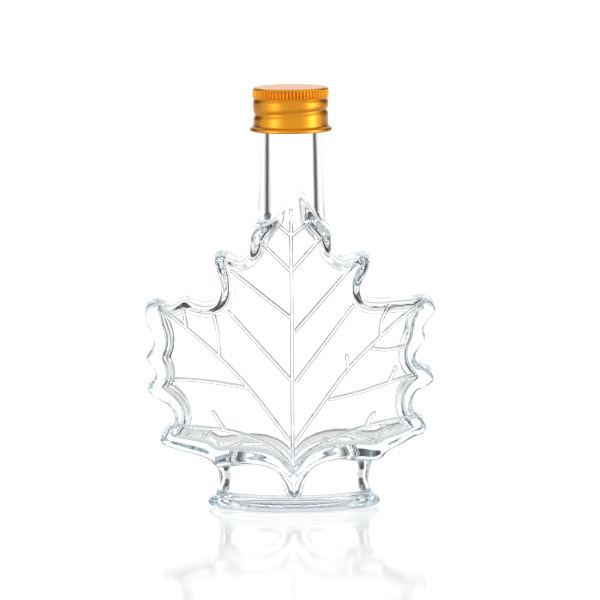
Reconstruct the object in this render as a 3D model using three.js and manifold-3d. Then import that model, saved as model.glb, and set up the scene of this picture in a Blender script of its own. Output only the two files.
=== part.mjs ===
// Clear glass bottle shaped as a maple leaf, on an oval foot, with a gold screw cap on a round neck.
// Millimetres, +Z up, origin at the middle of the foot's underside; the leaf's veined face looks to -Y.
import * as THREE from 'three';
import { mergeVertices } from 'three/addons/utils/BufferGeometryUtils.js';
import Module from 'manifold-3d';

const { lerp, smoothstep } = THREE.MathUtils;

// Leaf body: half its depth in the middle at the foot end, and how fast it thins towards the neck.
const leafHalfDepth = 15.6;
const leafDraft = 0.045;
const leafDraftStart = 16;
const tipDrop = 1.3; // the tip sinks into the neck by this much
const rimHalfDepth = 9; // half the depth at the ends of the side lobes
const crownFrom = 6; // the faces fall away from the middle between these two distances from it
const crownTo = 50;
const crownBends = [0, 6, 11, 17, 25, 34, 43, 52]; // the faces bend along lines this far from the middle
const crownHeights = [0, 80, 88, 97, 106, 112];
const edgeFillet = 1.8;
const hollowFillet = 3.4;
const edgeLean = 0.5; // upper and lower edges lie this much nearer together at mid depth
const leafHalfWidth = 48;
const samplesPerKey = 2;

// Glass walls.
const wallThin = 2.2; // along the upper edges
const wallThick = 4.8; // at the far ends of the side lobes
const faceWall = 2.8; // front and back
const wallAtTips = 1; // at the narrow tips on the neck and the stalk
const tipHalfWidth = 7;
const hollowNarrowing = 0.92; // the hollow's faces begin at this much of its full outline
const hollowCentreZ = 48;

// Neck, cap and foot heights.
const boreRadius = 7.2;
const mouthZ = 134;
const floorZ = 3.6;
const footHalfWidth = 28;
const footHalfDepth = 17.7;

// Veins: round ribs standing out of the front face.
const veinRadius = 0.75;
const veinSink = 0.05;

// Cap.
const capTopZ = 135.7;
const capLipZ = 121.6;
const capBodyRadius = 12.2;
const capLipRadius = 13.3;
const capInnerRadius = 10.4;
const capInnerTopZ = 134.4;
const knurlCount = 66;
const knurlDepth = 0.35;
const grooveTilt = 0.9; // the rolled thread climbs from left to right across the front

// Leaf edge as x, z, down the left side from the tip on the neck to the stalk's end.
const leafLeft = [
  [0.2, 107], [-1.6, 103.6], [-3.1, 99.6], [-5.3, 95.8], [-8.6, 93.4], [-11.6, 92.2], [-13.3, 90],
  [-13.9, 86.5], [-14.5, 83.2], [-16.7, 81.6], [-20, 82.8], [-23.2, 83.5], [-25.3, 81.8], [-25, 78.6],
  [-23.8, 74.4], [-23.6, 70.5], [-25, 67.8], [-27.8, 67], [-31, 67.7], [-34.6, 69], [-37, 68],
  [-39.2, 67], [-41.8, 67.7], [-44.4, 68.2], [-47, 66.8], [-47.9, 63.6], [-47, 59.2], [-45.4, 56],
  [-45, 54], [-46.3, 51.9], [-47.6, 49.2], [-46.6, 46.8], [-44.6, 44.2], [-45.8, 41.9], [-47.4, 39.5],
  [-46, 36.8], [-42.9, 34.6], [-40, 32.9], [-38.8, 30.4], [-39.6, 27.9], [-42, 25.4], [-43.5, 22.4],
  [-42, 20.3], [-36.8, 18.4], [-30.5, 16.7], [-27.4, 15.4], [-25, 13.2], [-20, 13.8], [-14, 14],
  [-9, 13.4], [-5.6, 11.8], [-3.4, 8.6], [-1.9, 5.2], [0, 3.6],
];

// Leaf edge up the right side.
const leafRight = [
  [1.9, 5.2], [3.3, 9], [6, 12.6], [10.4, 14.8], [15.5, 15.4], [21, 15.2], [25.8, 14.8],
  [28.8, 15.7], [30.4, 17.5], [35, 19.9], [39.4, 22.3], [42, 23.3], [43.3, 25.9], [42.1, 28.8],
  [39.8, 31.3], [38.8, 34], [40, 37.1], [43, 38.5], [45.8, 41.4], [44.6, 44.6], [41.5, 46.7],
  [39.9, 49.1], [41.3, 51.8], [43.1, 54.8], [42.5, 58], [44.3, 60.6], [46.4, 63.8], [45.4, 66.7],
  [42.7, 68.8], [38.5, 68.4], [33, 68.1], [27, 67.8], [23.6, 68.5], [22.4, 71.2], [23.4, 74.2],
  [25.2, 77.8], [25.3, 80.8], [23.2, 82.7], [19.5, 82.2], [16.2, 81.6], [13.8, 83.4], [13.2, 87],
  [12.9, 90], [11.4, 92.2], [8.8, 94.8], [6.5, 98.4], [4.3, 101.8], [2.2, 104.9],
];

// Vein centre-lines as x, z on the front face.
const veins = [
  [[-0.2, 96], [-0.2, 88], [-0.3, 21], [-0.3, 15.6]],
  [[-4, 92.2], [-0.2, 89]],
  [[5.5, 93.3], [-0.2, 89]],
  [[-9.6, 86.8], [-0.3, 77.6]],
  [[9, 87.9], [-0.3, 77.6]],
  [[-19.2, 77.8], [-0.8, 63]],
  [[19.5, 79.4], [1.1, 58.8]],
  [[-20.4, 64.3], [-1, 43.1]],
  [[19.5, 66], [1.1, 42.6]],
  [[-40.5, 64.3], [-32.8, 58.3], [-23.9, 50.5], [-14.4, 40.6], [-1.5, 23.7]],
  [[-34.9, 65], [-34.1, 60.1]],
  [[-25.1, 63], [-24, 57.8], [-23.6, 51]],
  [[-39.7, 42.6], [-33, 42.6], [-24, 41.8], [-14.4, 40.3]],
  [[40.8, 65.4], [35, 62.2], [26.6, 54.8], [17.9, 46.3], [11.8, 38.5], [0.8, 23.4]],
  [[30.9, 64.6], [28.6, 61.5], [28.1, 57]],
  [[25.4, 52.5], [29.8, 51.9], [35.2, 52.6]],
  [[17.3, 50.3], [17.8, 46.5]],
  [[11.8, 36.4], [21.4, 38.5], [30.4, 41.2], [38.6, 42.6]],
  [[30.9, 41.8], [33, 46]],
  [[-0.9, 15.8], [-4.4, 19.2], [-8.5, 22.2], [-18.4, 25.9], [-28.3, 27.1], [-36.3, 27.4]],
  [[-22.3, 27], [-25.6, 32.3]],
  [[-14.3, 24], [-20.7, 20.8]],
  [[-27.1, 26.4], [-29.2, 24.3]],
  [[-32.6, 26.8], [-34.5, 25]],
  [[-0.1, 15.6], [5.2, 19.7], [10.1, 22.7], [18.8, 26.1], [29, 28.6], [37, 29.6]],
  [[23.6, 28], [24.6, 30.3], [26, 31.6]],
  [[18.8, 25.5], [26, 22.7]],
  [[28.2, 27.8], [31.6, 26.3]],
];

// Round neck and oval foot as z, half width, half depth.
const footRows = [
  [0, 26.6, 16.4], [0.5, 27.6, 17.3], [1.4, footHalfWidth, footHalfDepth], [2.4, 27.4, 17.1],
  [3.4, 26.2, 15.9], [4.8, 25, 14.6], [6.4, 24.4, 13.5], [8.6, 24.2, 12.8], [11.2, 24.6, 12.5],
  [14, 25.4, 12.4], [17, 24.6, 12], [21, 20, 10],
];
const neckRows = [
  [76, 7, 7], [80, 10, 10], [86, 11.1, 11.1], [94, 11, 11], [106, 10.5, 10.5], [121, 10, 10],
  [mouthZ - 0.6, 9.95, 9.95], [mouthZ, 9.3, 9.3],
];
const boreRows = [
  [74, 4.6, 4.6], [79, 6.8, 6.8], [86, boreRadius, boreRadius], [132, boreRadius, boreRadius],
  [mouthZ + 1, boreRadius + 0.3, boreRadius + 0.3],
];
const footHollowRows = [
  [floorZ, 16.5, 7], [floorZ + 0.6, 19.4, 9], [floorZ + 1.9, 20.6, 9.8], [10, 21, 9.8], [14, 21.4, 9.6],
  [20, 19, 9],
];
const pushUpRows = [
  [-1, 22, 12], [0, 21.4, 11.4], [0.8, 19, 9.4], [1.3, 14, 6.6],
];

const wasm = await Module();
wasm.setup();

// A solid through rings of equal count, stacked along u cross v, with flat ends.
function loft(rings, u, v) {
  const count = rings[0].length;
  const index = [];
  for (let r = 0; r + 1 < rings.length; r += 1) {
    for (let i = 0; i < count; i += 1) {
      const a = r * count + i;
      const b = r * count + ((i + 1) % count);
      index.push(a, b, b + count, a, b + count, a + count);
    }
  }
  const flat = (ring) => ring.map((p) => new THREE.Vector2(p[u], p[v]));
  const last = (rings.length - 1) * count;
  for (const [i, j, k] of THREE.ShapeUtils.triangulateShape(flat(rings[0]), [])) {
    index.push(i, k, j);
  }
  for (const [i, j, k] of THREE.ShapeUtils.triangulateShape(flat(rings.at(-1)), [])) {
    index.push(last + i, last + j, last + k);
  }
  const geometry = new THREE.BufferGeometry();
  geometry.setFromPoints(rings.flat());
  geometry.setIndex(index);
  return geometry;
}

function solid(geometry) {
  geometry.deleteAttribute('normal');
  geometry.deleteAttribute('uv');
  const merged = mergeVertices(geometry, 1e-4);
  return new wasm.Manifold(new wasm.Mesh({
    numProp: 3,
    vertProperties: new Float32Array(merged.attributes.position.array),
    triVerts: new Uint32Array(merged.index.array),
  }));
}

function meshOf(name, body, material) {
  const result = body.getMesh();
  const geometry = new THREE.BufferGeometry();
  geometry.setAttribute('position', new THREE.BufferAttribute(result.vertProperties, 3));
  geometry.setIndex(new THREE.BufferAttribute(result.triVerts, 1));
  geometry.computeVertexNormals();
  const mesh = new THREE.Mesh(geometry, material);
  mesh.name = name;
  return mesh;
}

// A stack of ovals given as z, half width, half depth.
function ovalStack(rows, segments) {
  const rings = rows.map(([z, a, b]) => Array.from({ length: segments }, (_, i) => {
    const t = (i / segments) * Math.PI * 2;
    return new THREE.Vector3(a * Math.cos(t), b * Math.sin(t), z);
  }));
  return solid(loft(rings, 'x', 'y'));
}

// A closed smooth edge through key points in the x, z plane.
function smoothEdge(keys) {
  const curve = new THREE.CatmullRomCurve3(keys.map(([x, z]) => new THREE.Vector3(x, 0, z)), true);
  const count = keys.length * samplesPerKey;
  return Array.from({ length: count }, (_, i) => curve.getPoint(i / count));
}

// Each pass moves a point halfway to the middle of its neighbours.
function relax(ring, passes) {
  let now = ring;
  for (let pass = 0; pass < passes; pass += 1) {
    now = now.map((p, i) => {
      const middle = now.at(i - 1).clone().add(now[(i + 1) % now.length]).multiplyScalar(0.5);
      return p.clone().lerp(middle, 0.5);
    });
  }
  return now;
}

// The line beside an edge inside it: evened out, and furthest in at the side lobes' ends.
function innerEdge(edge, wallAtLobes) {
  const even = relax(edge, 3);
  const broad = relax(edge, 12);
  return even.map((p, i) => {
    const along = broad[(i + 1) % broad.length].clone().sub(broad.at(i - 1)).normalize();
    const inward = new THREE.Vector3(-along.z, 0, along.x);
    const side = (p.x / leafHalfWidth) ** 2 * Math.abs(inward.x);
    const thin = lerp(wallAtTips, wallThin, Math.min(1, Math.abs(p.x) / tipHalfWidth));
    return p.clone().addScaledVector(inward, thin + (wallAtLobes - wallThin) * side);
  });
}

// The leaf edge at mid depth.
function leafEdge() {
  const edge = smoothEdge([...leafLeft, ...leafRight]);
  const lean = relax(edge.map((p, i) => (
    edge[(i + 1) % edge.length].clone().sub(edge.at(i - 1)).normalize()
  )), 5);
  return edge.map((p, i) => p.clone().setZ(p.z + edgeLean * lean[i].x));
}

const edge = leafEdge();

// Half the leaf's depth at a point of its face: full along the middle, thin at the side lobes.
function halfDepth(p) {
  const middle = leafHalfDepth - leafDraft * (p.z - leafDraftStart) - tipDrop * smoothstep(p.z, 80, 106);
  return lerp(middle, rimHalfDepth, smoothstep(Math.abs(p.x), crownFrom, crownTo));
}

// The space between the leaf's two crowned faces, each moved in by a wall.
function crown(wall) {
  const bends = [...crownBends.slice(1).toReversed().map((x) => -x), ...crownBends];
  const rings = crownHeights.map((z) => {
    const back = bends.map((x) => new THREE.Vector3(x, 0, z)).map((p) => p.setY(halfDepth(p) - wall));
    const front = back.map((p) => p.clone().setY(-p.y));
    return [...front, ...back.toReversed()];
  });
  return solid(loft(rings, 'x', 'y'));
}

// A slab with steep sides from its outline, bevelled where they meet the crowned faces.
function slab(outline, face, wall, bevel) {
  const rim = face.map((p) => p.clone().setY(halfDepth(p) - wall));
  const shoulder = outline.map((p, i) => p.clone().lerp(face[i], 0.2).setY(rim[i].y - bevel));
  const brow = shoulder.map((p, i) => p.clone().lerp(rim[i], 1.15));
  const half = [shoulder, brow, brow.map((p) => p.clone().setY(leafHalfDepth + 4))];
  const back = half.toReversed();
  const front = half.map((ring) => ring.map((p) => p.clone().setY(-p.y)));
  return solid(loft([...back, outline, ...front], 'x', 'z')).intersect(crown(wall));
}

function rib(points, radius) {
  const steps = Math.max(3, points.length * 2 - 3);
  const line = new THREE.CatmullRomCurve3(points.map(([x, z]) => new THREE.Vector3(x, 0, z)));
  const onFace = line.getSpacedPoints(steps).map((p) => p.setY(veinSink - halfDepth(p)));
  const shape = new THREE.Shape();
  shape.absarc(0, 0, radius, 0, Math.PI * 2, false);
  const path = new THREE.CatmullRomCurve3(onFace);
  const options = { steps, curveSegments: 3, extrudePath: path, bevelEnabled: false };
  return solid(new THREE.ExtrudeGeometry(shape, options));
}

function leafBody() {
  return slab(edge, innerEdge(edge, wallThin), 0, edgeFillet);
}

function leafHollow() {
  const wall = innerEdge(edge, wallThick).filter((p, i) => p.z > 17 && p.z < 90 && i % 2 === 0);
  const outline = relax(wall, 1);
  const centre = new THREE.Vector3(0, 0, hollowCentreZ);
  const face = relax(outline, 2).map((p) => centre.clone().lerp(p, hollowNarrowing));
  return slab(outline, face, faceWall, hollowFillet);
}

function glassBottle() {
  let body = leafBody().add(ovalStack(footRows, 40)).add(ovalStack(neckRows, 32));
  for (const points of veins) {
    body = body.add(rib(points, veinRadius));
  }
  const hollow = leafHollow().add(ovalStack(boreRows, 32)).add(ovalStack(footHollowRows, 32));
  return body.subtract(hollow).subtract(ovalStack(pushUpRows, 32));
}

// Rows of the cap's outside as z, radius, knurl share, thread share.
const capRows = [
  [capLipZ, capLipRadius - 0.6, 0, 0], [capLipZ + 0.4, capLipRadius, 0, 0],
  [capLipZ + 1.3, capLipRadius, 0, 0], [capLipZ + 2, capBodyRadius - 0.1, 0, 0],
  [126.8, capBodyRadius - 0.15, 0, 1], [127.7, capBodyRadius - 0.5, 0, 1], [128.6, capBodyRadius, 0, 1],
  [131.2, capBodyRadius, 0, 0], [131.9, capBodyRadius - 0.5, 0, 0],
  [132.5, capBodyRadius, 1, 0], [capTopZ - 0.7, capBodyRadius - 0.1, 1, 0], [capTopZ, capBodyRadius - 0.8, 0, 0],
];

function screwCap() {
  const count = knurlCount * 2;
  const rings = capRows.map(([z, radius, knurl, thread]) => Array.from({ length: count }, (_, i) => {
    const t = (i / count) * Math.PI * 2;
    const r = radius - (i % 2) * knurl * knurlDepth;
    return new THREE.Vector3(r * Math.cos(t), r * Math.sin(t), z + thread * grooveTilt * Math.cos(t));
  }));
  const shell = solid(loft(rings, 'x', 'y'));
  const insideRows = [capLipZ - 1, capInnerTopZ].map((z) => [z, capInnerRadius, capInnerRadius]);
  return shell.subtract(ovalStack(insideRows, 36));
}

const glass = new THREE.MeshStandardMaterial({
  color: 0xe9f0f3, roughness: 0.04, metalness: 0, transparent: true, opacity: 0.45,
});
const goldFinish = new THREE.MeshStandardMaterial({ color: 0xd28f1e, roughness: 0.32, metalness: 1 });

const bottle = new THREE.Group();
bottle.add(meshOf('glass_bottle', glassBottle(), glass));
bottle.add(meshOf('screw_cap', screwCap(), goldFinish));

export default bottle;
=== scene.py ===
import bpy
import bmesh
import math
import numpy as np
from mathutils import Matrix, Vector


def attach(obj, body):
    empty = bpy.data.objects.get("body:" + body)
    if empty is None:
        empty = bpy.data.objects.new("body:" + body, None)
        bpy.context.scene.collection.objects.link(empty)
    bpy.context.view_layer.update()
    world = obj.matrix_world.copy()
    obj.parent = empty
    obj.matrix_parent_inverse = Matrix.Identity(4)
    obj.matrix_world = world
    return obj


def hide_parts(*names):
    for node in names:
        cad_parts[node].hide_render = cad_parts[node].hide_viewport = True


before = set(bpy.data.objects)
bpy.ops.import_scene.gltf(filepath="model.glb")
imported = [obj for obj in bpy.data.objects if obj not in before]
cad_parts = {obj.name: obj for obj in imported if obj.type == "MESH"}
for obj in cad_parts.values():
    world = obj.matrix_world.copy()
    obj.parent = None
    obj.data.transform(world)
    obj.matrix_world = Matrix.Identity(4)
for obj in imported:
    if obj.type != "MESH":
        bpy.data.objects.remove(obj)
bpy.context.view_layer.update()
scene = bpy.context.scene
mm = 0.001


def srgb(text):  # sRGB hex to linear
    parts = [int(text[i:i + 2], 16) / 255 for i in (0, 2, 4)]
    return [c / 12.92 if c <= 0.04045 else ((c + 0.055) / 1.055) ** 2.4 for c in parts] + [1]


def addNode(tree, kind, settings=None, links=None):
    node = tree.nodes.new(kind)
    for key, value in (settings or {}).items():
        if isinstance(key, int) or key in node.inputs:
            node.inputs[key].default_value = value
        else:
            setattr(node, key, value)
    for key, source in (links or {}).items():
        tree.links.new(source, node.inputs[key])
    return node


def newMaterial(name):
    material = bpy.data.materials.new(name)
    material.use_nodes = True
    material.node_tree.nodes.clear()
    return material, material.node_tree


def newObject(name, mesh, material):
    obj = bpy.data.objects.new(name, mesh)
    scene.collection.objects.link(obj)
    mesh.materials.clear()
    mesh.materials.append(material)
    return obj


# soda-lime glass blown in a mould: clear, with a faint cool tint where the eye looks through much of it
def glassMaterial():
    rippleSize = 12 * mm  # the mould leaves a slow ripple in the skin
    rippleHeight = 0.6 * mm
    material, tree = newMaterial("soda_lime_glass")
    place = addNode(tree, "ShaderNodeTexCoord")
    wave = addNode(tree, "ShaderNodeTexNoise", {"Scale": 1 / rippleSize, "Detail": 1.0}, {
        "Vector": place.outputs["Object"],
    })
    ripple = addNode(tree, "ShaderNodeBump", {"Strength": 0.05, "Distance": rippleHeight}, {
        "Height": wave.outputs["Fac"],
    })
    shader = addNode(tree, "ShaderNodeBsdfPrincipled", {
        "Base Color": (1, 1, 1, 1), "Roughness": 0.0, "IOR": 1.52, "Transmission Weight": 1.0,
    }, {"Normal": ripple.outputs["Normal"]})
    tint = addNode(tree, "ShaderNodeVolumeAbsorption", {"Color": srgb("D3E0E6"), "Density": 22.0})
    addNode(tree, "ShaderNodeOutputMaterial", None, {
        "Surface": shader.outputs["BSDF"], "Volume": tint.outputs["Volume"],
    })
    return material


# anodised aluminium under clear lacquer: warm satin gold, a little deeper and duller in patches
def goldMaterial():
    patchSize = 6 * mm
    material, tree = newMaterial("gold_anodised_aluminium")
    place = addNode(tree, "ShaderNodeTexCoord")
    patch = addNode(tree, "ShaderNodeTexNoise", {"Scale": 1 / patchSize, "Detail": 3.0}, {
        "Vector": place.outputs["Object"],
    })
    tone = addNode(tree, "ShaderNodeMix", {"data_type": "RGBA", "A": srgb("E29612"), "B": srgb("D68808")}, {
        "Factor": patch.outputs["Fac"],
    })
    dull = addNode(tree, "ShaderNodeMapRange", {"To Min": 0.32, "To Max": 0.42}, {
        "Value": patch.outputs["Fac"],
    })
    lacquer = {"Coat Weight": 0.35, "Coat Roughness": 0.2}
    shader = addNode(tree, "ShaderNodeBsdfPrincipled", {"Metallic": 1.0, **lacquer}, {
        "Base Color": tone.outputs[2], "Roughness": dull.outputs["Result"],
    })
    addNode(tree, "ShaderNodeOutputMaterial", None, {"Surface": shader.outputs["BSDF"]})
    return material


# leaf in mm, its edge as x, z: down the left from the tip on the neck, then up the right
leaf = {
    "halfDepth": 15.6, "draft": 0.045, "draftStart": 16,  # thinner towards the top
    "rimDepth": 9, "crown": (6, 50),  # and from the middle out to the sides
    "tipDrop": 1.3, "tipSink": (80, 106),  # the tip sinks into the neck
    "fillet": 1.8, "tipFillet": 0.8, "tipRange": (86, 93),
    "sideDraft": 0.06, "drawIn": 0.5, "drawInPasses": 80, "perKey": 8,
    "neckBlend": 0.6, "footBlend": 1.0,
    "edge": [
        (0.2, 107), (-1.6, 103.6), (-3.1, 99.6), (-5.3, 95.8), (-8.6, 93.4), (-11.6, 92.2), (-13.3, 90),
        (-13.9, 86.5), (-14.5, 83.2), (-16.7, 81.6), (-20, 82.8), (-23.2, 83.5), (-25.3, 81.8), (-25, 78.6),
        (-23.8, 74.4), (-23.6, 70.5), (-25, 67.8), (-27.8, 67), (-31, 67.7), (-34.6, 69), (-37, 68),
        (-39.2, 67), (-41.8, 67.7), (-44.4, 68.2), (-47, 66.8), (-47.9, 63.6), (-47, 59.2), (-45.4, 56),
        (-45, 54), (-46.3, 51.9), (-47.6, 49.2), (-46.6, 46.8), (-44.6, 44.2), (-45.8, 41.9), (-47.4, 39.5),
        (-46, 36.8), (-42.9, 34.6), (-40, 32.9), (-38.8, 30.4), (-39.6, 27.9), (-42, 25.4), (-43.5, 22.4),
        (-42, 20.3), (-36.8, 18.4), (-30.5, 16.7), (-27.4, 15.4), (-25, 13.2), (-20, 13.8), (-14, 14),
        (-9, 13.4), (-5.6, 11.8), (-3.4, 8.6), (-1.9, 5.2), (0, 3.6),
        (1.9, 5.2), (3.3, 9), (6, 12.6), (10.4, 14.8), (15.5, 15.4), (21, 15.2), (25.8, 14.8),
        (28.8, 15.7), (30.4, 17.5), (35, 19.9), (39.4, 22.3), (42, 23.3), (43.3, 25.9), (42.1, 28.8),
        (39.8, 31.3), (38.8, 34), (40, 37.1), (43, 38.5), (45.8, 41.4), (44.6, 44.6), (41.5, 46.7),
        (39.9, 49.1), (41.3, 51.8), (43.1, 54.8), (42.5, 58), (44.3, 60.6), (46.4, 63.8), (45.4, 66.7),
        (42.7, 68.8), (38.5, 68.4), (33, 68.1), (27, 67.8), (23.6, 68.5), (22.4, 71.2), (23.4, 74.2),
        (25.2, 77.8), (25.3, 80.8), (23.2, 82.7), (19.5, 82.2), (16.2, 81.6), (13.8, 83.4), (13.2, 87),
        (12.9, 90), (11.4, 92.2), (8.8, 94.8), (6.5, 98.4), (4.3, 101.8), (2.2, 104.9),
    ],
}

# hollow in mm, its walls measured in from the leaf's edge, its funnel and dip as x, z
hollow = {
    "wallThin": 1.8, "wallThick": 4.8, "halfWidth": 48,  # thick at the side lobes
    "wallAtTips": 1, "tipHalfWidth": 7,
    "wallBelow": 3.0, "belowRange": (17, 25),
    "faceWall": 2.8, "neckRoom": 6.6, "neckRange": (84, 98),
    "fillet": 3.4, "filletLoss": 1.4, "filletRange": (20, 32),  # sharper at the bottom
    "shoulderX": 15, "shoulderTop": 90, "neckTop": 80,  # higher up the funnel takes over from the edge
    "stemX": 6.5, "stemTop": 40,  # and beside the stem the dip does
    "funnel": [(11.9, 83), (11.2, 86), (10.2, 88.6), (8.4, 90.8), (6.2, 92.8), (4, 94.5)],
    "dip": [(-4.8, 17), (-2.6, 13.8), (-0.2, 12), (2.2, 14.2), (4.6, 18)],
    "funnelSteps": 10, "dipSteps": 8, "outlinePasses": 10,
    "boreBlend": 3, "footBlend": 1.6,
}

# vein centre-lines in mm as x, z on the front face
vein = {
    "halfWidth": 0.66, "height": 0.95, "flank": 0.4, "perKey": 6,
    "frontY": -6.5, "faceTurn": -0.7, "pointTurn": -0.5,  # what counts as the front face
    "fineWithin": 1.1, "cuts": 3,
    "lines": [
        [(-0.2, 97), (-0.2, 88), (-0.3, 21), (-0.3, 15.6)],
        [(-4, 92.2), (-0.2, 89)],
        [(5.5, 93.3), (-0.2, 89)],
        [(-9.6, 86.8), (-0.3, 77.6)],
        [(9, 87.9), (-0.3, 77.6)],
        [(-19.2, 77.8), (-0.8, 63)],
        [(19.5, 79.4), (1.1, 58.8)],
        [(-20.4, 64.8), (-1, 43.1)],
        [(19.5, 66.5), (1.1, 42.6)],
        [(-40.6, 64.7), (-32.8, 58.3), (-23.9, 50.5), (-14.4, 40.6), (-1.5, 23.7)],
        [(-34.9, 65), (-34.1, 60.1)],
        [(-25.1, 63.4), (-24, 57.8), (-23.6, 51)],
        [(-40.7, 42.6), (-33, 42.6), (-24, 41.8), (-14.4, 40.3)],
        [(42, 67), (35, 62.2), (26.6, 54.8), (17.9, 46.3), (11.8, 38.5), (0.8, 23.4)],
        [(30.9, 66), (28.6, 61.5), (28.1, 57)],
        [(25.4, 52.5), (29.8, 51.9), (35.6, 52.8)],
        [(17.3, 50.3), (17.8, 46.5)],
        [(11.8, 36.4), (21.4, 38.5), (30.4, 41.2), (39.1, 43.6)],
        [(30.9, 41.8), (33, 46)],
        [(-0.9, 15.6), (-4.4, 19.2), (-8.5, 22.2), (-18.4, 25.9), (-28.3, 27.1), (-37.3, 27.4)],
        [(-22.3, 27), (-25.6, 32.3)],
        [(-14.3, 24), (-20.7, 20.8)],
        [(-27.1, 26.4), (-29.2, 24.3)],
        [(-32.6, 26.8), (-34.5, 25)],
        [(-0.1, 15.4), (5.2, 19.7), (10.1, 22.7), (18.8, 26.1), (29, 28.6), (38, 29.7)],
        [(23.6, 28), (24.6, 30.3), (26, 31.6)],
        [(18.8, 25.5), (26, 22.7)],
        [(28.2, 27.8), (31.6, 26.3)],
    ],
}

# neck, foot and their hollows in mm as z, half width, half depth
turned = {
    "mouth": 134,
    "foot": [
        (0, 26.6, 16.4), (0.5, 27.6, 17.3), (1.4, 28, 17.7), (2.4, 27.4, 17.1),
        (3.4, 26.2, 15.9), (4.8, 25, 14.6), (6.4, 24.4, 13.5), (8.6, 24.2, 12.8),
        (11.2, 24.6, 12.5), (14, 25.4, 12.4), (17, 24.6, 12), (21, 20, 10),
    ],
    "neck": [
        (76, 7, 7), (80, 10, 10), (86, 11.1, 11.1), (94, 11, 11),
        (106, 10.5, 10.5), (121, 10, 10), (136, 9.9, 9.9),
    ],
    "bore": [(74, 4.6, 4.6), (79, 6.8, 6.8), (86, 7.2, 7.2), (136, 7.2, 7.2)],
    "footHollow": [
        (2.8, 19, 10.6), (3.2, 22, 12.8), (4, 22.8, 13.2), (5, 22.3, 12.2),
        (6.8, 21.4, 10.6), (9, 21, 9.9), (14, 21.4, 9.6), (20, 19, 9),
    ],
    "perKey": 12,
    "pushUp": (21.4, 11.4, 0.4),  # half axes of the dome under the foot
}


# a curve through the keys that doesn't overshoot where they crowd
def smoothLine(keys, perKey, closed):
    keys = np.array(keys, float)
    if not closed:
        keys = np.vstack([2 * keys[0] - keys[1], keys, 2 * keys[-1] - keys[-2]])
    count = len(keys)
    out = []
    for i in range(count if closed else count - 3):
        p = [keys[(i + j - (1 if closed else 0)) % count] for j in range(4)]
        d = [max(np.sum((p[j + 1] - p[j]) ** 2) ** 0.25, 1e-4) for j in range(3)]
        t1 = ((p[1] - p[0]) / d[0] - (p[2] - p[0]) / (d[0] + d[1]) + (p[2] - p[1]) / d[1]) * d[1]
        t2 = ((p[2] - p[1]) / d[1] - (p[3] - p[1]) / (d[1] + d[2]) + (p[3] - p[2]) / d[2]) * d[1]
        t = (np.arange(perKey) / perKey)[:, None]
        bend = (3 * (p[2] - p[1]) - 2 * t1 - t2) * t ** 2
        twist = (2 * (p[1] - p[2]) + t1 + t2) * t ** 3
        out.append(p[1] + t1 * t + bend + twist)
    if not closed:
        out.append(keys[-2][None])
    return np.vstack(out)


def relax(ring, passes):
    for _ in range(passes):
        ring = 0.5 * ring + 0.25 * (np.roll(ring, 1, 0) + np.roll(ring, -1, 0))
    return ring


# the edge moved in by the wall, which is thin at the tips and thick where the sides stand upright
def innerEdge(edge):
    passes = (leaf["perKey"] // 2) ** 2
    near = relax(edge, passes)
    even = relax(edge, 3 * passes)
    broad = relax(edge, 12 * passes)
    along = np.roll(broad, -1, 0) - np.roll(broad, 1, 0)
    along /= np.linalg.norm(along, axis=1)[:, None]
    inward = np.stack([-along[:, 1], along[:, 0]], 1)
    side = (even[:, 0] / hollow["halfWidth"]) ** 2 * np.abs(inward[:, 0])
    even = near + (even - near) * np.minimum(1, 2 * side)[:, None]
    share = np.minimum(1, np.abs(even[:, 0]) / hollow["tipHalfWidth"])
    thin = hollow["wallAtTips"] + (hollow["wallThin"] - hollow["wallAtTips"]) * share
    return even + inward * (thin + (hollow["wallThick"] - hollow["wallThin"]) * side)[:, None]


def distanceTo(line, px, pz, closed):
    a = line if closed else line[:-1]
    b = np.roll(line, -1, 0) if closed else line[1:]
    best = np.full(px.shape, 1e9)
    for (ax, az), (bx, bz) in zip(a, b):
        dx, dz = bx - ax, bz - az
        t = np.clip(((px - ax) * dx + (pz - az) * dz) / (dx * dx + dz * dz + 1e-12), 0, 1)
        best = np.minimum(best, (px - ax - t * dx) ** 2 + (pz - az - t * dz) ** 2)
    return np.sqrt(best)


def signedDistance(ring, px, pz):  # positive inside
    inside = np.zeros(px.shape, bool)
    for (ax, az), (bx, bz) in zip(ring, np.roll(ring, -1, 0)):
        if az != bz:
            inside ^= ((az > pz) != (bz > pz)) & (px < ax + (pz - az) * (bx - ax) / (bz - az))
    return np.where(inside, 1, -1) * distanceTo(ring, px, pz, True)


# fields on one grid, in mm, turned into distances by their own slope
step = 0.5
gridX = np.arange(-50, 49.01, step)
gridY = np.arange(-20, 20.01, step)
gridZ = np.arange(-2, 136.01, step)
px, pz = np.meshgrid(gridX, gridZ, indexing="ij")


def asDistance(field):
    slope = np.sqrt(sum(part ** 2 for part in np.gradient(field, step)))
    return field / np.maximum(slope, 0.02)


# a plate, its sides drafted from the middle outline and rounded into the faces
def slab(inside, depth, fillet, draft):
    height = np.abs(gridY)[None, :, None]
    fillet = fillet[:, None, :]
    side = fillet + draft * height - inside[:, None, :]
    face = fillet + height - depth[:, None, :]
    corner = np.sqrt(np.maximum(side, 0) ** 2 + np.maximum(face, 0) ** 2)
    return asDistance(corner + np.minimum(np.maximum(side, face), 0) - fillet)


# a body of level ovals, one above the other
def ovals(rows):
    fine = smoothLine(rows, turned["perKey"], False)
    a = np.interp(gridZ, fine[:, 0], fine[:, 1])[None, None, :]
    b = np.interp(gridZ, fine[:, 0], fine[:, 2])[None, None, :]
    body = asDistance(np.sqrt((gridX[:, None, None] / a) ** 2 + (gridY[None, :, None] / b) ** 2) - 1)
    ends = np.maximum(rows[0][0] - gridZ, gridZ - rows[-1][0])
    return np.maximum(body, ends[None, None, :])


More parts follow.
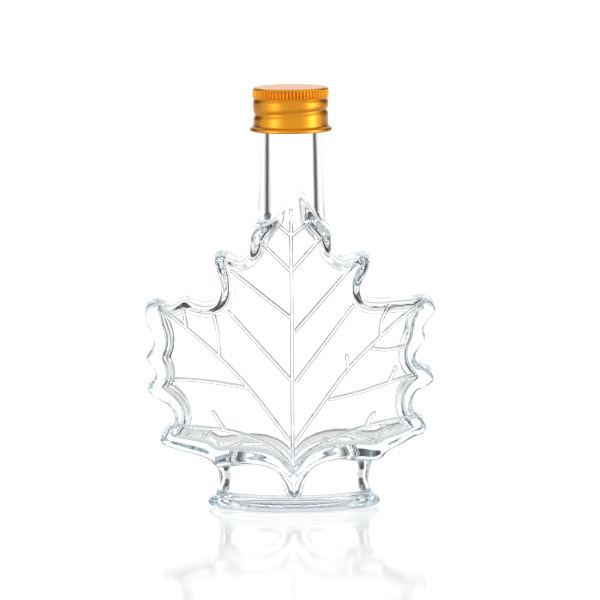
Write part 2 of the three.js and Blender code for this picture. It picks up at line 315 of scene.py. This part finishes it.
def blendIn(a, b, reach):  # two bodies joined with a soft crease
    return np.minimum(a, b) - np.maximum(reach - np.abs(a - b), 0) ** 2 / (4 * reach)


def easeIn(value, start, end):
    t = np.clip((value - start) / (end - start), 0, 1)
    return t * t * (3 - 2 * t)


def glassField():
    edge = smoothLine(leaf["edge"], leaf["perKey"], True)
    along = np.roll(edge, -1, 0) - np.roll(edge, 1, 0)
    level = along[:, 0] / np.linalg.norm(along, axis=1)
    edge[:, 1] += leaf["drawIn"] * relax(level, leaf["drawInPasses"])
    inside = signedDistance(edge, px, pz)
    middle = leaf["halfDepth"] - leaf["draft"] * (pz - leaf["draftStart"])
    middle = middle - leaf["tipDrop"] * easeIn(pz, *leaf["tipSink"])
    depth = middle + (leaf["rimDepth"] - middle) * easeIn(np.abs(px), *leaf["crown"])
    fillet = leaf["fillet"] + (leaf["tipFillet"] - leaf["fillet"]) * easeIn(pz, *leaf["tipRange"])
    outside = slab(inside, depth, fillet, leaf["sideDraft"])
    outside = blendIn(outside, ovals(turned["neck"]), leaf["neckBlend"])
    outside = blendIn(outside, ovals(turned["foot"]), leaf["footBlend"])
    outside = np.maximum(outside, np.maximum(-gridZ, gridZ - turned["mouth"])[None, None, :])
    a, b, c = turned["pushUp"]
    across = (gridX[:, None, None] / a) ** 2 + (gridY[None, :, None] / b) ** 2
    dome = np.sqrt(across + (gridZ[None, None, :] / c) ** 2) - 1
    outside = np.maximum(outside, -asDistance(dome))
    # the hollow follows the edge, runs out into the bore and bridges the stem
    inner = innerEdge(edge)
    inner[:, 1] += hollow["wallBelow"] * (1 - easeIn(inner[:, 1], *hollow["belowRange"]))
    x, z = np.abs(inner[:, 0]), inner[:, 1]
    belowNeck = z < np.where(x > hollow["shoulderX"], hollow["shoulderTop"], hollow["neckTop"])
    clearOfStem = (x > hollow["stemX"]) | (z > hollow["stemTop"])
    kept = inner[belowNeck & clearOfStem]
    left, right = kept[kept[:, 0] < 0], kept[kept[:, 0] > 0]
    dip = smoothLine(hollow["dip"], hollow["dipSteps"], False)
    funnel = smoothLine(hollow["funnel"], hollow["funnelSteps"], False)
    outline = np.vstack([left, dip, right, funnel, funnel[::-1] * [-1, 1]])
    outline = relax(outline, hollow["outlinePasses"])
    room = depth - hollow["faceWall"]
    room = room + (hollow["neckRoom"] - room) * easeIn(pz, *hollow["neckRange"])
    fillet = hollow["fillet"] - hollow["filletLoss"] * (1 - easeIn(pz, *hollow["filletRange"]))
    cavity = slab(signedDistance(outline, px, pz), room, fillet, leaf["sideDraft"])
    cavity = blendIn(cavity, ovals(turned["bore"]), hollow["boreBlend"])
    cavity = blendIn(cavity, ovals(turned["footHollow"]), hollow["footBlend"])
    return np.maximum(outside, -cavity)


# one point in each cell that the surface crosses, one face round each crossed grid edge
def surfaceOf(field):
    solid = field < 0
    count = np.array(field.shape) - 1
    corners = [(i, j, k) for i in (0, 1) for j in (0, 1) for k in (0, 1)]
    part = {c: tuple(slice(o, o + n) for o, n in zip(c, count)) for c in corners}
    total = np.zeros(tuple(count) + (3,))
    hits = np.zeros(tuple(count))
    for c in corners:
        for axis in range(3):
            if c[axis]:
                continue
            d = tuple(1 if i == axis else v for i, v in enumerate(c))
            u, v = field[part[c]], field[part[d]]
            cross = (u < 0) != (v < 0)
            t = np.where(cross, u / np.where(cross, u - v, 1), 0)
            for i in range(3):
                total[..., i] += np.where(cross, c[i] + (t if i == axis else 0), 0)
            hits += cross
    used = hits > 0
    number = np.full(tuple(count), -1)
    number[used] = np.arange(used.sum())
    points = np.argwhere(used) + total[used] / hits[used][:, None]
    quads = []
    for axis in range(3):
        a, b = [i for i in range(3) if i != axis]
        low = [slice(None)] * 3
        high = [slice(None)] * 3
        low[axis], high[axis] = slice(0, -1), slice(1, None)
        change = solid[tuple(low)] != solid[tuple(high)]
        where = np.argwhere(change)
        for other in (a, b):
            where = where[(where[:, other] > 0) & (where[:, other] < count[other])]
        around = []
        for da, db in ((1, 1), (0, 1), (0, 0), (1, 0)):
            cell = where.copy()
            cell[:, a] -= da
            cell[:, b] -= db
            around.append(number[tuple(cell.T)])
        face = np.stack(around, 1)
        flip = solid[tuple(where.T)] == (axis == 1)
        face[flip] = face[flip][:, ::-1]
        quads.append(face)
    return points, np.vstack(quads)


def sample(field, points):  # the field between grid points
    base = np.clip(np.floor(points).astype(int), 0, np.array(field.shape) - 2)
    f = points - base
    out = 0
    for c in ((i, j, k) for i in (0, 1) for j in (0, 1) for k in (0, 1)):
        weight = np.prod([f[:, i] if c[i] else 1 - f[:, i] for i in range(3)], axis=0)
        out = out + weight * field[base[:, 0] + c[0], base[:, 1] + c[1], base[:, 2] + c[2]]
    return out


def settle(field, points, rounds):  # points moved along the slope until they lie on the surface
    slope = np.gradient(field, step)
    for _ in range(rounds):
        value = sample(field, points)
        g = np.stack([sample(s, points) for s in slope], 1)
        points = points - (value / np.maximum((g ** 2).sum(1), 0.2))[:, None] * g / step
    return points


def veinHeight(x, z):
    near = np.full(x.shape, 9.0)
    for keys in vein["lines"]:
        near = np.minimum(near, distanceTo(smoothLine(keys, vein["perKey"], False), x, z, False))
    rise = np.clip((vein["halfWidth"] - near) / vein["flank"], 0, 1)
    return vein["height"] * rise, near


def buildBottle(material):
    field = glassField()
    points, quads = surfaceOf(field)
    points = settle(field, points, 4)
    place = np.array([gridX[0], gridY[0], gridZ[0]]) + points * step
    mesh = bpy.data.meshes.new("glass_bottle_look")
    mesh.from_pydata(place * mm, [], quads.tolist())
    mesh.update()
    print("glass:", len(place), "points,", len(quads), "faces")
    # the front face is cut finer along the veins, then raised there
    bm = bmesh.new()
    bm.from_mesh(mesh)
    bm.faces.ensure_lookup_table()
    centre = place[quads].mean(1)
    onFront = np.flatnonzero(centre[:, 1] < vein["frontY"])
    near = veinHeight(centre[onFront, 0], centre[onFront, 2])[1]
    edges = set()
    for i in onFront[near < vein["fineWithin"]]:
        if bm.faces[i].normal.y < vein["faceTurn"]:
            edges.update(bm.faces[i].edges)
    bmesh.ops.subdivide_edges(bm, edges=list(edges), cuts=vein["cuts"], use_grid_fill=True)
    bmesh.ops.triangulate(bm, faces=[f for f in bm.faces if len(f.verts) > 4])
    bm.verts.ensure_lookup_table()
    bm.normal_update()
    where = np.array([v.co[:] for v in bm.verts]) / mm
    lift = np.zeros(len(where))
    front = where[:, 1] < vein["frontY"]
    lift[front] = veinHeight(where[front, 0], where[front, 2])[0]
    for i in np.flatnonzero(lift):
        if bm.verts[i].normal.y < vein["pointTurn"]:
            bm.verts[i].co.y -= lift[i] * mm
    bm.to_mesh(mesh)
    bm.free()
    mesh.shade_smooth()
    bottle = newObject("glass_bottle_look", mesh, material)
    print("glass after veins:", len(mesh.vertices), "points")
    return bottle


bottle = buildBottle(glassMaterial())
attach(bottle, "root")
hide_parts("glass_bottle")

# rolled cap in mm as radius, z from the curled lip to the middle of the top
cap = {
    "profile": [
        (12.3, 121.75), (12.8, 121.6), (13.2, 121.75), (13.3, 122.2), (13.15, 122.7), (12.7, 123),
        (12.25, 123.35), (12.12, 124.2), (12.1, 126), (12.1, 128), (12.2, 129.6), (12.2, 131),
        (12, 131.6), (11.8, 131.95), (12, 132.3), (12.2, 132.7), (12.2, 134.5), (12.05, 135.2),
        (11.75, 135.55), (11.2, 135.7), (9, 135.7),
    ],
    "inside": [(10.7, 135.35), (11.2, 134.7), (11.2, 124), (11.9, 122.6)],
    "perKey": 5, "perKnurl": 8,
    "knurls": 66, "knurlDepth": 0.75, "knurlStart": (132.2, 132.7), "knurlEnd": (134.6, 135.3),
    "groove": 127.7, "grooveTilt": 0.9, "grooveDepth": 0.5, "grooveHalf": 0.75, "grooveAbove": 124,
    "weld": 0.02,
}


def buildCap(material):
    around = cap["knurls"] * cap["perKnurl"]
    turn = np.arange(around) * 2 * math.pi / around
    profile = smoothLine(cap["profile"], cap["perKey"], False)
    rings = []
    for r, z in profile:
        band = easeIn(z, *cap["knurlStart"]) * (1 - easeIn(z, *cap["knurlEnd"]))
        flute = cap["knurlDepth"] * band * (0.5 + 0.5 * np.cos(cap["knurls"] * turn))
        off = (z - cap["groove"] - cap["grooveTilt"] * np.cos(turn)) / cap["grooveHalf"]
        roll = cap["grooveDepth"] * np.exp(-off ** 2) * (z > cap["grooveAbove"])
        reach = r - flute - roll
        rings.append(np.stack([reach * np.cos(turn), reach * np.sin(turn), np.full(around, z)], 1))
    for r, z in cap["inside"]:
        rings.append(np.stack([r * np.cos(turn), r * np.sin(turn), np.full(around, z)], 1))
    points = np.vstack(rings)
    rows = len(rings)
    top = len(profile) - 1
    # the top and its underside are one face each, the rest runs in rows round the cap
    faces = [range(row * around, (row + 1) * around) for row in (top, top + 1)]
    for row in range(rows):
        if row == top:
            continue
        low, high = row * around, (row + 1) % rows * around
        for i in range(around):
            j = (i + 1) % around
            faces.append((low + i, low + j, high + j, high + i))
    mesh = bpy.data.meshes.new("screw_cap_look")
    mesh.from_pydata(points * mm, [], faces)
    mesh.update()
    bm = bmesh.new()
    bm.from_mesh(mesh)
    bmesh.ops.remove_doubles(bm, verts=bm.verts, dist=cap["weld"] * mm)
    bmesh.ops.recalc_face_normals(bm, faces=bm.faces)
    bm.to_mesh(mesh)
    bm.free()
    mesh.shade_smooth()
    print("cap:", len(mesh.vertices), "points")
    return newObject("screw_cap_look", mesh, material)


capLook = buildCap(goldMaterial())
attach(capLook, "root")
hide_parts("screw_cap")


def addMesh(name, points, faces, material):
    mesh = bpy.data.meshes.new(name)
    mesh.from_pydata(points, [], faces)
    return newObject(name, mesh, material)


def buildFloor():
    floor = {"half": 3, "z": -0.2 * mm}
    material, tree = newMaterial("white_acrylic_sheet")  # lit from below, with a soft mirror image on top
    shader = addNode(tree, "ShaderNodeBsdfPrincipled", {
        "Base Color": srgb("101010"), "Roughness": 0.08, "IOR": 1.8,
        "Emission Color": (1, 1, 1, 1), "Emission Strength": 0.66,
    })
    addNode(tree, "ShaderNodeOutputMaterial", None, {"Surface": shader.outputs["BSDF"]})
    half = floor["half"]
    corners = [(-half, -half, 0), (half, -half, 0), (half, half, 0), (-half, half, 0)]
    sheet = addMesh("floor", corners, [(0, 1, 2, 3)], material)
    sheet.location.z = floor["z"]


def cardMaterial():  # matt black paper, which gives the glass its dark lines
    material, tree = newMaterial("black_card")
    shader = addNode(tree, "ShaderNodeBsdfPrincipled", {"Base Color": srgb("0A0A0A"), "Roughness": 0.9})
    addNode(tree, "ShaderNodeOutputMaterial", None, {"Surface": shader.outputs["BSDF"]})
    return material


def paintedShadowSheetMaterial():  # painted soft shadow: a black sheet, dark in the middle and fading out to nothing, clear from below
    material, tree = newMaterial("painted_soft_shadow")
    shadowDark = addNode(tree, "ShaderNodeBsdfPrincipled", {"Base Color": srgb("0A0A0A"), "Roughness": 0.9})
    clear = addNode(tree, "ShaderNodeBsdfTransparent")
    place = addNode(tree, "ShaderNodeTexCoord")
    place = addNode(tree, "ShaderNodeMapping", {"Location": (-1, -1, 0), "Scale": (2, 2, 0)}, {
        "Vector": place.outputs["Generated"],
    })
    shadowFalloff = addNode(tree, "ShaderNodeTexGradient", {"gradient_type": "SPHERICAL"}, {
        "Vector": place.outputs["Vector"],
    })
    shadowFadeOut = {"interpolation_type": "SMOOTHSTEP", "From Max": 0.6, "To Max": 0.75}
    shadowFalloff = addNode(tree, "ShaderNodeMapRange", shadowFadeOut, {"Value": shadowFalloff.outputs["Fac"]})
    shadowSheet = addNode(tree, "ShaderNodeMixShader", None, {
        0: shadowFalloff.outputs["Result"], 1: clear.outputs["BSDF"], 2: shadowDark.outputs["BSDF"],
    })
    face = addNode(tree, "ShaderNodeNewGeometry")
    both = addNode(tree, "ShaderNodeMixShader", None, {
        0: face.outputs["Backfacing"], 1: shadowSheet.outputs["Shader"], 2: clear.outputs["BSDF"],
    })
    addNode(tree, "ShaderNodeOutputMaterial", None, {"Surface": both.outputs["Shader"]})
    return material


# two dark cards stand out of the picture and draw the dark lines in the glass; a third, a painted soft
# shadow, lies low along the line of sight, where only light thrown downwards by a vein meets it
def buildCards():
    card = {"near": 45, "far": 66, "away": 0.16, "height": 0.125, "steps": 8}
    low = {"half": 0.13, "front": (0.026, 0.0117), "back": (0.086, 0.0017)}
    half = low["half"]
    corners = [(-half, *low["front"]), (half, *low["front"]), (half, *low["back"]), (-half, *low["back"])]
    # the low card is a painted soft shadow behind the bottle: black fading out at its edges, seen only
    # through the glass
    made = [addMesh("card_low", corners, [(0, 1, 2, 3)], paintedShadowSheetMaterial())]
    black = cardMaterial()
    for name, side in (("card_left", -1), ("card_right", 1)):
        points = []
        for i in range(card["steps"] + 1):
            turn = math.radians(card["near"] + (card["far"] - card["near"]) * i / card["steps"])
            x, y = side * card["away"] * math.sin(turn), card["away"] * math.cos(turn)
            points += [(x, y, 0), (x, y, card["height"])]
        faces = [(2 * i, 2 * i + 2, 2 * i + 3, 2 * i + 1) for i in range(card["steps"])]
        made.append(addMesh(name, points, faces, black))
    for obj in made:
        obj.visible_camera = False
        obj.visible_glossy = False


# two soft boxes on the camera's side put the pale bands on the cap, one high up behind lights its top
def buildSoftBoxes():
    boxes = {
        "soft_box_left": {"turn": -51, "away": 0.7, "height": 0.15, "width": 0.3, "power": 1.2},
        "soft_box_right": {"turn": 69, "away": 0.7, "height": 0.15, "width": 0.3, "power": 2.0},
        "soft_box_top": {"turn": 180, "away": 0.55, "height": 0.75, "width": 0.9, "power": 1.5},
    }
    tall, aimZ = 0.5, 0.15
    for name, box in boxes.items():
        data = bpy.data.lights.new(name, "AREA")
        data.shape = "RECTANGLE"
        data.size, data.size_y = box["width"], tall
        data.energy = box["power"]
        obj = bpy.data.objects.new(name, data)
        scene.collection.objects.link(obj)
        turn = math.radians(box["turn"])
        obj.location = (box["away"] * math.sin(turn), -box["away"] * math.cos(turn), box["height"])
        aim = Vector((-obj.location.x, -obj.location.y, aimZ - box["height"]))
        obj.rotation_euler = aim.to_track_quat("-Z", "Y").to_euler()
        # the glass mirrors the high one but does not show it through
        obj.visible_transmission = name != "soft_box_top"


# white to the camera; to the glass, pale round the camera and behind the bottle, with a dark ring between
def buildSurround():
    stops = [(0.0, 0.95), (0.62, 0.95), (0.67, 0.03), (0.885, 0.03), (0.935, 0.45), (0.958, 1.2), (1.0, 1.2)]
    world = bpy.data.worlds.new("studio")
    scene.world = world
    world.use_nodes = True
    tree = world.node_tree
    tree.nodes.clear()
    place = addNode(tree, "ShaderNodeTexCoord")
    split = addNode(tree, "ShaderNodeSeparateXYZ", None, {"Vector": place.outputs["Generated"]})
    share = addNode(tree, "ShaderNodeMapRange", {"From Min": -1.0, "From Max": 1.0}, {
        "Value": split.outputs["Y"],
    })
    ramp = addNode(tree, "ShaderNodeValToRGB", None, {"Fac": share.outputs["Result"]})
    while len(ramp.color_ramp.elements) < len(stops):
        ramp.color_ramp.elements.new(0.5)
    for element, (at, value) in zip(ramp.color_ramp.elements, stops):
        element.position = at
        element.color = (value, value, value, 1)
    path = addNode(tree, "ShaderNodeLightPath")
    seen = addNode(tree, "ShaderNodeMix", {"data_type": "RGBA", "B": (1, 1, 1, 1)}, {
        "Factor": path.outputs["Is Camera Ray"], "A": ramp.outputs["Color"],
    })
    light = addNode(tree, "ShaderNodeBackground", {"Strength": 1.0}, {"Color": seen.outputs[2]})
    addNode(tree, "ShaderNodeOutputWorld", None, {"Surface": light.outputs["Background"]})
    scene.view_settings.view_transform = "Standard"
    # light is handed on many times inside the thick foot, and would go black with fewer
    scene.cycles.transmission_bounces = 24
    scene.cycles.glossy_bounces = 24
    scene.cycles.max_bounces = 28


def buildCamera():
    view = {
        "distance": 1.5, "down": 7.5, "roll": 0.5, "aim": (2.45 * mm, 0, 66.7 * mm),
        "mmPerPixel": 0.3225, "pixels": 600, "sensor": 36,
    }
    data = bpy.data.cameras.new("camera")
    data.sensor_width = view["sensor"]
    data.lens = view["sensor"] * view["distance"] / (view["mmPerPixel"] * mm * view["pixels"])
    camera = bpy.data.objects.new("camera", data)
    scene.collection.objects.link(camera)
    down = math.radians(view["down"])
    back = Vector((0, -math.cos(down), math.sin(down)))
    camera.location = Vector(view["aim"]) + back * view["distance"]
    camera.rotation_euler = back.to_track_quat("Z", "Y").to_euler()
    camera.rotation_euler.rotate_axis("Z", math.radians(-view["roll"]))
    scene.camera = camera


buildFloor()
buildCards()
buildSoftBoxes()
buildSurround()
buildCamera()
print("stage and camera done")
